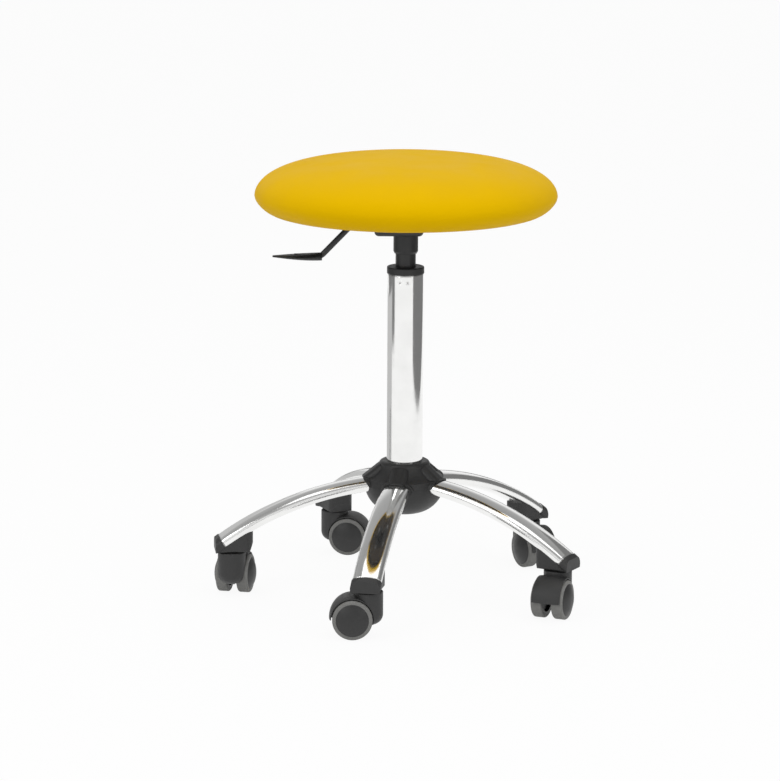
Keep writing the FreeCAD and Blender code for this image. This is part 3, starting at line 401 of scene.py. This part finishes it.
def shade_darkened_plywood():
    """Face veneer set near black as painted shade, with long grain and fine fibres."""
    finish, tree, shader, place = new_finish("shade_darkened_plywood")
    along = stretched(tree, place, GRAIN_STRETCH)
    grain = clouds(tree, along, GRAIN_WIDTH, GRAIN_DETAIL)
    colour = shades(tree, grain, (NOISE_LOW, SHADED_GRAIN_DARK), (NOISE_HIGH, SHADED_GRAIN_LIGHT))
    tree.links.new(colour, shader.inputs["Base Color"])
    fibre = clouds(tree, along, FIBRE_WIDTH, 2.0)
    tree.links.new(spread(tree, fibre, *PLYWOOD_ROUGHNESS), shader.inputs["Roughness"])
    relief(tree, shader, fibre, PLASTIC_GRAIN_DEPTH, FIBRE_STRENGTH)
    return finish


plywood = shade_darkened_plywood()
print("made", plywood.name)

# %% [markdown]
# The flat underside of the folded vinyl gets a near-black finish, painted shade that darkens the
# seat's underside where its shade falls. It lies flat, so it needs no mesh of its own, only a
# finish
# for the faces it covers: fine tangled fibres that catch very little light.

# %% Painted shade under the seat
# painted shade: near-black tones that stand for the shade under the seat
UNDERSIDE_SHADE_TONE = (0.014, 0.014, 0.014)
UNDERSIDE_SHADE_FIBRE_TONE = (0.028, 0.028, 0.028)
UNDERSIDE_FIBRE = 0.0009
UNDERSIDE_FIBRE_STRETCH = (1.0, 0.3, 1.0)
UNDERSIDE_FIBRE_DEPTH = 0.0002
UNDERSIDE_FIBRE_STRENGTH = 0.5
UNDERSIDE_ROUGHNESS = (0.80, 0.95)
UNDERSIDE_SPECULAR = 0.2


def painted_shade_underside():
    """Near-black finish with tangled fibres, painted shade on the seat's underside."""
    finish, tree, shader, place = new_finish("painted_shade_underside")
    fibres = clouds(tree, stretched(tree, place, UNDERSIDE_FIBRE_STRETCH), UNDERSIDE_FIBRE)
    colour = shades(tree, fibres, (NOISE_LOW, UNDERSIDE_SHADE_TONE), (NOISE_HIGH, UNDERSIDE_SHADE_FIBRE_TONE))
    tree.links.new(colour, shader.inputs["Base Color"])
    tree.links.new(spread(tree, fibres, *UNDERSIDE_ROUGHNESS), shader.inputs["Roughness"])
    shader.inputs["Specular IOR Level"].default_value = UNDERSIDE_SPECULAR
    relief(tree, shader, fibres, UNDERSIDE_FIBRE_DEPTH, UNDERSIDE_FIBRE_STRENGTH)
    return finish


underside_shade = painted_shade_underside()
print("made", underside_shade.name)

# %% [markdown]
# Now each ready-made piece gets its finish. The pieces keep their places and their meshes:
# only the material slot changes. Pieces that repeat end in a number, so a finish is looked up
# by the name without that number.

# %% Finishes for the ready-made pieces
FINISH_OF = {
    "seat_board": plywood, "seat_screws": zinc, "seat_plate": powder_coat,
    "taper_socket": powder_coat, "lever_pivot_pin": zinc, "lever_rod": powder_coat,
    "lever_handle": hub_plastic, "gas_cylinder": cylinder_enamel, "release_pin": steel,
    "piston_rod": steel, "rod_clip": zinc, "thrust_bearing": steel, "column_tube": chrome,
    "column_bush": hub_plastic, "hub_sleeve": powder_coat, "hub_cover": hub_plastic,
    "hub_bowl": hub_plastic, "caster_stems": zinc, "leg": chrome, "leg_socket": caster_plastic,
    "caster_hood": caster_plastic, "caster_axle": zinc, "wheel_left": wheel_plastic,
    "wheel_right": wheel_plastic, "tread_left": tread_rubber, "tread_right": tread_rubber,
    "seat_cover": vinyl, "seat_foam": vinyl,
}


def family(name):
    """A node's name without its number."""
    return name.rstrip("0123456789").rstrip("_")


for name, piece in nodes.items():
    piece.data.materials.clear()
    piece.data.materials.append(FINISH_OF[family(name)])
print("finished", len(nodes), "pieces in", len({f.name for f in FINISH_OF.values()}), "finishes")

# %% [markdown]
# The seat is foam under stretched vinyl. Its section is a low dome with a full shoulder, drawn
# in underneath to the edge of the board. A turned mesh would crowd its faces at the middle, and
# cloth does badly on slivers, so the vinyl is one square grid bent into rings: ring k has eight
# times k points, which keeps all its faces about as large. The outline first, as rings from the
# middle of the top to the hem on the underside.

# %% Outline of the seat
WAIST_RISE = 0.0215       # widest level above the underside
FOOT_R = 0.184            # where the vinyl turns under the board
HEM_R = 0.150             # cut edge of the vinyl on the underside
SHOULDER_POWER = 3.5      # how full the shoulder is
UNDER_POWER = 1.5         # the same for the drawn-in underside
VINYL_THICK = 0.0015
CROWN_DIP = 0.004         # the skin starts with a dip in its crown and is blown up to size
VINYL_RINGS = 60
OUTLINE_STEPS = 240

seat_low, seat_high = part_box("seat_cover")
board_low, board_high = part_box("seat_board")
seat_r = (seat_high.x - seat_low.x) / 2
waist_z = seat_low.z + WAIST_RISE


def seat_outline(dip):
    """Points of the section, as radius and height, from the top to the hem, the crown dipped."""
    crown = seat_high.z - waist_z
    points = []
    for step in range(OUTLINE_STEPS + 1):
        share = math.sin(math.pi / 2 * step / OUTLINE_STEPS)
        rise = crown * math.sqrt(1 - share ** SHOULDER_POWER) - dip * (1 - share ** 2) ** 2
        points.append((seat_r * share, waist_z + rise))
    for step in range(1, OUTLINE_STEPS + 1):
        angle = math.pi / 2 * step / OUTLINE_STEPS
        power = 2 / UNDER_POWER
        radius = FOOT_R + (seat_r - FOOT_R) * math.cos(angle) ** power
        points.append((radius, waist_z - WAIST_RISE * math.sin(angle) ** power))
    points.append((HEM_R, seat_low.z))
    return points


def evenly(points, count):
    """The outline again, as points at even distances along it."""
    lengths = [0.0]
    for (r0, z0), (r1, z1) in zip(points, points[1:]):
        lengths.append(lengths[-1] + math.hypot(r1 - r0, z1 - z0))
    found = []
    place = 0
    for step in range(count + 1):
        goal = lengths[-1] * step / count
        while place < len(lengths) - 2 and lengths[place + 1] < goal:
            place += 1
        span = lengths[place + 1] - lengths[place]
        share = (goal - lengths[place]) / span
        (r0, z0), (r1, z1) = points[place], points[place + 1]
        found.append((r0 + (r1 - r0) * share, z0 + (z1 - z0) * share))
    return found


full_outline = evenly(seat_outline(0.0), VINYL_RINGS)
start_outline = evenly(seat_outline(CROWN_DIP), VINYL_RINGS)
print("seat radius", round(seat_r, 4), "rings", VINYL_RINGS)

# %% [markdown]
# The closed form has the vinyl outside and, inside, the space that the board fills: from the
# hem back over the board's underside, up its edge and across its top. Only the vinyl may move
# later, so its points are made first, and the ring of each one is noted.

# %% Mesh of the seat
BOARD_ROOM = 0.0003
# painted shade: inside this radius the vinyl's flat underside is finished near black, standing for
# the seat's shade
SHADED_UNDERSIDE_R = 0.1835         # outer edge of the black lining


def ring_angle(i, j):
    """Angle of a grid point on its ring, evenly spaced round it."""
    if abs(i) >= abs(j):
        return math.pi / 4 * j / i + (0.0 if i > 0 else math.pi)
    return math.pi / 2 - math.pi / 4 * i / j + (0.0 if j > 0 else math.pi)


def seat_form(outline):
    """Closed mesh of the upholstered seat, and the ring of each of its vinyl points."""
    form = bmesh.new()
    grid = {}
    rings = []
    reach = range(-VINYL_RINGS, VINYL_RINGS + 1)
    for i in reach:
        for j in reach:
            ring = max(abs(i), abs(j))
            radius, height = outline[ring]
            angle = ring_angle(i, j) if ring else 0.0
            rings.append(ring)
            place = radius * math.cos(angle), radius * math.sin(angle), height
            grid[i, j] = form.verts.new(place)
    for i in range(-VINYL_RINGS, VINYL_RINGS):
        for j in range(-VINYL_RINGS, VINYL_RINGS):
            corners = grid[i, j], grid[i + 1, j], grid[i + 1, j + 1], grid[i, j + 1]
            form.faces.new(corners)
    edge = [(VINYL_RINGS, j) for j in range(-VINYL_RINGS, VINYL_RINGS)]
    edge += [(-i, VINYL_RINGS) for i in range(-VINYL_RINGS, VINYL_RINGS)]
    edge += [(-VINYL_RINGS, -j) for j in range(-VINYL_RINGS, VINYL_RINGS)]
    edge += [(i, -VINYL_RINGS) for i in range(-VINYL_RINGS, VINYL_RINGS)]
    loop = [grid[key] for key in edge]
    rim_r = board_high.x + BOARD_ROOM
    under_z = seat_low.z + VINYL_THICK
    top_z = board_high.z + BOARD_ROOM
    for radius, height in ((HEM_R, under_z), (rim_r, under_z), (rim_r, top_z), (rim_r / 2, top_z)):
        inner = []
        for vert in loop:
            out = vert.co.to_2d().normalized() * radius
            inner.append(form.verts.new((out.x, out.y, height)))
        for a, b, c, d in zip(loop, loop[1:] + loop[:1], inner[1:] + inner[:1], inner):
            form.faces.new((b, a, d, c))
        loop = inner
    middle = form.verts.new((0, 0, top_z))
    for a, b in zip(loop, loop[1:] + loop[:1]):
        form.faces.new((b, a, middle))
    bmesh.ops.recalc_face_normals(form, faces=form.faces)
    return form, rings


def new_piece(name, form, finish, body):
    """A mesh piece that takes its finish and rides on a body."""
    mesh = bpy.data.meshes.new(name)
    form.to_mesh(mesh)
    form.free()
    mesh.materials.append(finish)
    for face in mesh.polygons:
        face.use_smooth = True
    piece = bpy.data.objects.new(name, mesh)
    bpy.context.scene.collection.objects.link(piece)
    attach(piece, body)
    return piece


seat_mesh, vinyl_rings = seat_form(start_outline)
cushion = new_piece("seat_cushion", seat_mesh, vinyl, "seat")
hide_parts("seat_cover", "seat_foam")
# painted shade: the flat underside faces of the vinyl take the near-black finish that stands for
# the shade under the seat
cushion.data.materials.append(underside_shade)
for face in cushion.data.polygons:
    if face.center.z < seat_low.z + VINYL_THICK / 2 and face.center.to_2d().length < SHADED_UNDERSIDE_R:
        face.material_index = 1
print("seat mesh", len(cushion.data.vertices), "points,", len(vinyl_rings), "of them vinyl")

# %% [markdown]
# To give the seat the tight, slightly swollen look of real upholstery, the vinyl is blown up
# as cloth. The board side and the hem are pinned, and pressure pushes the rest for twenty
# frames. Left alone, the cloth would rise too far in the middle and pull the shoulder in, which
# the foam doesn't allow. So a point may only move outward, and no further than the full outline
# and a little swelling. The pressure takes nearly all of the crown to that limit, so the limit
# gives the final shape: taut, smooth and without folds. The result is put back into the mesh, so
# nothing is left to simulate when the stool moves.

# %% Blow up the vinyl
BLOW_FRAMES = 20
BLOW_PRESSURE = 4.0
BLOW_STIFFNESS = 12.0
BLOW_BENDING = 0.6
CREASE_R = 0.176          # pinned inside this radius on the underside
SWELLING = 1.15           # furthest a point may rise, as a share of its dip


def blow_up(piece, limits):
    """Cloth pressure on a closed form: each point moves outward, up to its own limit."""
    pins = piece.vertex_groups.new(name="held_by_board")
    for vert in piece.data.vertices:
        on_board = vert.index >= len(limits)
        under = vert.co.z < seat_low.z + VINYL_THICK and vert.co.to_2d().length < CREASE_R
        if on_board or under:
            pins.add([vert.index], 1.0, "REPLACE")
    start = [vert.co.copy() for vert in piece.data.vertices]
    outward = [vert.normal.copy() for vert in piece.data.vertices]
    cloth = piece.modifiers.new("stretched_vinyl", "CLOTH")
    settings = cloth.settings
    settings.vertex_group_mass = pins.name
    settings.use_pressure = True
    settings.uniform_pressure_force = BLOW_PRESSURE
    settings.tension_stiffness = BLOW_STIFFNESS
    settings.compression_stiffness = BLOW_STIFFNESS
    settings.bending_stiffness = BLOW_BENDING
    settings.effector_weights.gravity = 0.0
    cloth.collision_settings.use_collision = False
    scene = bpy.context.scene
    for number in range(1, BLOW_FRAMES + 1):
        scene.frame_set(number)
    blown = piece.evaluated_get(bpy.context.evaluated_depsgraph_get()).data
    places = [vert.co.copy() for vert in blown.vertices]
    piece.modifiers.remove(cloth)
    scene.frame_set(1)
    for vert, limit in zip(piece.data.vertices, limits):
        travel = (places[vert.index] - start[vert.index]).dot(outward[vert.index])
        vert.co = start[vert.index] + outward[vert.index] * min(max(travel, 0.0), limit)
    piece.vertex_groups.clear()
    return max((there - here).length for here, there in zip(start, places))


gaps = [SWELLING * max(full_z - start_z, 0.0)
        for (_, full_z), (_, start_z) in zip(full_outline, start_outline)]
furthest = blow_up(cushion, [gaps[ring] for ring in vinyl_rings])
print("vinyl moved at most", round(furthest * 1000, 2), "mm before the limit")
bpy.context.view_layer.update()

# %% [markdown]
# Underneath, the vinyl is stapled to the board. A staple is a bit of flat wire whose
# crown lies on the vinyl's dark-painted underside. They are driven by hand all round, so each
# sits a little off its neighbour's line. All of them are one mesh of small boxes that ride with the
# seat.

# %% Staples
STAPLE_COUNT = 44
STAPLE_R = 0.1565
STAPLE_SIZE = (0.0012, 0.0100, 0.0009)
STAPLE_SINK = 0.0003
STAPLE_ROUND = 0.0002
STAPLE_STRAY = 0.0018
STAPLE_SKEW = 0.25

chance = random.Random(5)
wires = bmesh.new()
for number in range(STAPLE_COUNT):
    around = Matrix.Rotation(2 * math.pi * number / STAPLE_COUNT, 4, "Z")
    stray = STAPLE_R + chance.uniform(-STAPLE_STRAY, STAPLE_STRAY)
    level = seat_low.z - STAPLE_SIZE[2] / 2 + STAPLE_SINK
    skew = Matrix.Rotation(chance.uniform(-STAPLE_SKEW, STAPLE_SKEW), 4, "Z")
    placed = around @ Matrix.Translation((stray, 0, level)) @ skew
    bmesh.ops.create_cube(wires, size=1.0, matrix=placed @ Matrix.Diagonal((*STAPLE_SIZE, 1)))
bmesh.ops.bevel(wires, geom=wires.edges[:], offset=STAPLE_ROUND, segments=2, profile=0.5,
                affect="EDGES")
staples = new_piece("hem_staples", wires, zinc, "seat")
for face in staples.data.polygons:
    face.use_smooth = False
print("drove", STAPLE_COUNT, "staples")

# %% [markdown]
# The picture shows the stool on pure white. A real product photo is taken on white paper with
# large soft lamps, and the paper is so bright that it loses its edge. Here the floor is a pale
# sheet that looks white to the camera and in reflections, and still takes a soft shadow. From
# below it is clear, so the underside of the stool can be looked at.

# %% Floor
FLOOR_R = 14.0
FLOOR_SIDES = 96
PAPER_TONE = (0.80, 0.80, 0.80, 1.0)
PAPER_WHITE_SHARE = 0.93


def ray_kinds(tree):
    """1 for rays from the camera and for mirror and see-through rays, 0 for the rest."""
    path = tree.nodes.new("ShaderNodeLightPath")
    either = path.outputs["Is Camera Ray"]
    for kind in ("Is Glossy Ray", "Is Transmission Ray"):
        larger = tree.nodes.new("ShaderNodeMath")
        larger.operation = "MAXIMUM"
        tree.links.new(either, larger.inputs[0])
        tree.links.new(path.outputs[kind], larger.inputs[1])
        either = larger.outputs[0]
    return either


def white_paper():
    """Pale sheet that is white to the eye, keeps a shadow and is clear from below."""
    finish = bpy.data.materials.new("white_paper")
    finish.use_nodes = True
    tree = finish.node_tree
    tree.nodes.clear()
    lit = tree.nodes.new("ShaderNodeBsdfDiffuse")
    lit.inputs["Color"].default_value = PAPER_TONE
    glow = tree.nodes.new("ShaderNodeEmission")
    clear = tree.nodes.new("ShaderNodeBsdfTransparent")
    share = tree.nodes.new("ShaderNodeMath")
    share.operation = "MULTIPLY"
    share.inputs[1].default_value = PAPER_WHITE_SHARE
    tree.links.new(ray_kinds(tree), share.inputs[0])
    upper = tree.nodes.new("ShaderNodeMixShader")
    tree.links.new(share.outputs[0], upper.inputs["Fac"])
    tree.links.new(lit.outputs[0], upper.inputs[1])
    tree.links.new(glow.outputs[0], upper.inputs[2])
    sides = tree.nodes.new("ShaderNodeMixShader")
    side = tree.nodes.new("ShaderNodeNewGeometry")
    tree.links.new(side.outputs["Backfacing"], sides.inputs["Fac"])
    tree.links.new(upper.outputs[0], sides.inputs[1])
    tree.links.new(clear.outputs[0], sides.inputs[2])
    output = tree.nodes.new("ShaderNodeOutputMaterial")
    tree.links.new(sides.outputs[0], output.inputs["Surface"])
    return finish


def stage_piece(name, form, finish):
    """A mesh that belongs to the studio and not to the stool."""
    mesh = bpy.data.meshes.new(name)
    form.to_mesh(mesh)
    form.free()
    mesh.materials.append(finish)
    piece = bpy.data.objects.new(name, mesh)
    bpy.context.scene.collection.objects.link(piece)
    return piece


disc = bmesh.new()
bmesh.ops.create_circle(disc, cap_ends=True, segments=FLOOR_SIDES, radius=FLOOR_R)
stage_piece("studio_floor", disc, white_paper())
print("floor", round(2 * FLOOR_R, 1), "m across")

# %% [markdown]
# The room round the paper matters for the chrome. Straight-on mirror rays run down to the white
# paper, while the sides of the column look past its edge at grey walls, which is what gives a
# tube its dark edges. The camera itself sees a white world. For mirror rays the world is a
# bright wall under a dim ceiling, and two grey walls stand left and right that only mirror rays
# can see. A low card behind the stool on the left shades the column's edge, and a darker strip
# in front of it draws the thin line low down in that shade.

# %% Room
AMBIENT_LEVEL = 0.70
CEILING_SHADES = ((0.43, 1.0), (0.50, 0.22), (0.53, 0.26), (0.58, 1.0), (0.68, 0.85),
                  (0.78, 0.42), (1.0, 0.30))
WALL_HEIGHT = 1.6
CARD_HEIGHT = 0.33
STRIP_HEIGHT = 0.15
GREY_WALLS = (            # name, the two ends of its foot, height and tone
    ("right_wall", (1.25, -1.10), (1.25, 2.00), WALL_HEIGHT, 0.20),
    ("left_wall", (-1.80, -0.60), (-1.80, 2.00), WALL_HEIGHT, 0.20),
    ("left_card", (-0.62, 0.02), (-0.25, 0.55), CARD_HEIGHT, 0.56),
    ("left_strip", (-0.536, 0.124), (-0.471, 0.283), STRIP_HEIGHT, 0.12),
)


def studio_world():
    """White to the camera, a plain level for the light, and a bright room for mirror rays."""
    world = bpy.data.worlds.new("studio_world")
    world.use_nodes = True
    tree = world.node_tree
    tree.nodes.clear()
    path = tree.nodes.new("ShaderNodeLightPath")
    way = tree.nodes.new("ShaderNodeTexCoord")
    parts = tree.nodes.new("ShaderNodeSeparateXYZ")
    tree.links.new(way.outputs["Generated"], parts.inputs[0])
    height = tree.nodes.new("ShaderNodeMapRange")
    height.inputs["From Min"].default_value = -1.0
    tree.links.new(parts.outputs["Z"], height.inputs["Value"])
    steps = [(at, (tone,) * 3) for at, tone in CEILING_SHADES]
    room = shades(tree, height.outputs["Result"], *steps)
    ambient = tree.nodes.new("ShaderNodeBackground")
    ambient.inputs["Strength"].default_value = AMBIENT_LEVEL
    ambient.inputs["Color"].default_value = (1, 1, 1, 1)
    mirror = tree.nodes.new("ShaderNodeBackground")
    tree.links.new(room, mirror.inputs["Color"])
    white = tree.nodes.new("ShaderNodeBackground")
    white.inputs["Color"].default_value = (1, 1, 1, 1)
    seen = ambient
    for kind, background in (("Is Glossy Ray", mirror), ("Is Transmission Ray", white),
                             ("Is Camera Ray", white)):
        mix = tree.nodes.new("ShaderNodeMixShader")
        tree.links.new(path.outputs[kind], mix.inputs["Fac"])
        tree.links.new(seen.outputs[0], mix.inputs[1])
        tree.links.new(background.outputs[0], mix.inputs[2])
        seen = mix
    output = tree.nodes.new("ShaderNodeOutputWorld")
    tree.links.new(seen.outputs[0], output.inputs["Surface"])
    bpy.context.scene.world = world
    return world


def grey_wall_finish(name, tone):
    """Plain grey that glows at its own tone, so that it mirrors the same from anywhere."""
    finish = bpy.data.materials.new(name)
    finish.use_nodes = True
    tree = finish.node_tree
    tree.nodes.clear()
    glow = tree.nodes.new("ShaderNodeEmission")
    glow.inputs["Color"].default_value = (tone, tone, tone, 1.0)
    output = tree.nodes.new("ShaderNodeOutputMaterial")
    tree.links.new(glow.outputs[0], output.inputs["Surface"])
    return finish


def grey_wall(name, start, end, height, tone):
    """Upright card beside the stool, seen only by mirror rays."""
    form = bmesh.new()
    corners = [(*start, 0), (*end, 0), (*end, height), (*start, height)]
    form.faces.new([form.verts.new(corner) for corner in corners])
    wall = stage_piece(name, form, grey_wall_finish(name, tone))
    wall.visible_camera = False
    wall.visible_diffuse = False
    wall.visible_shadow = False
    wall.visible_transmission = False
    return wall


studio_world()
walls = [grey_wall(*wall) for wall in GREY_WALLS]
print("room with", len(walls), "grey walls")

# %% [markdown]
# Three large soft lamps light the stool: one overhead, one from the left and one from the
# right. They are kept at a plain level, at which white paper comes out white and a colour comes
# out as it was written. Large lamps give soft shadows and long soft highlights.

# %% Lamps
def soft_lamp(name, place, width, power):
    """Square area lamp that faces the middle of the stool."""
    data = bpy.data.lights.new(name, "AREA")
    data.size = width
    data.energy = power
    lamp = bpy.data.objects.new(name, data)
    lamp.location = place
    toward = Vector(LAMP_AIM) - Vector(place)
    lamp.rotation_euler = toward.to_track_quat("-Z", "Y").to_euler()
    bpy.context.scene.collection.objects.link(lamp)
    return lamp


LAMP_AIM = (0.0, 0.0, 0.4)
LAMPS = (                 # name, place, width in metres and power in watts
    ("overhead_lamp", (0.0, -0.3, 2.6), 2.2, 19.0),
    ("left_lamp", (-2.0, -2.0, 1.9), 1.2, 15.0),
    ("right_lamp", (2.2, -1.6, 1.5), 1.2, 11.0),
)
lamps = [soft_lamp(*lamp) for lamp in LAMPS]
bpy.context.scene.view_settings.view_transform = "Standard"
print("lit by", len(lamps), "lamps")
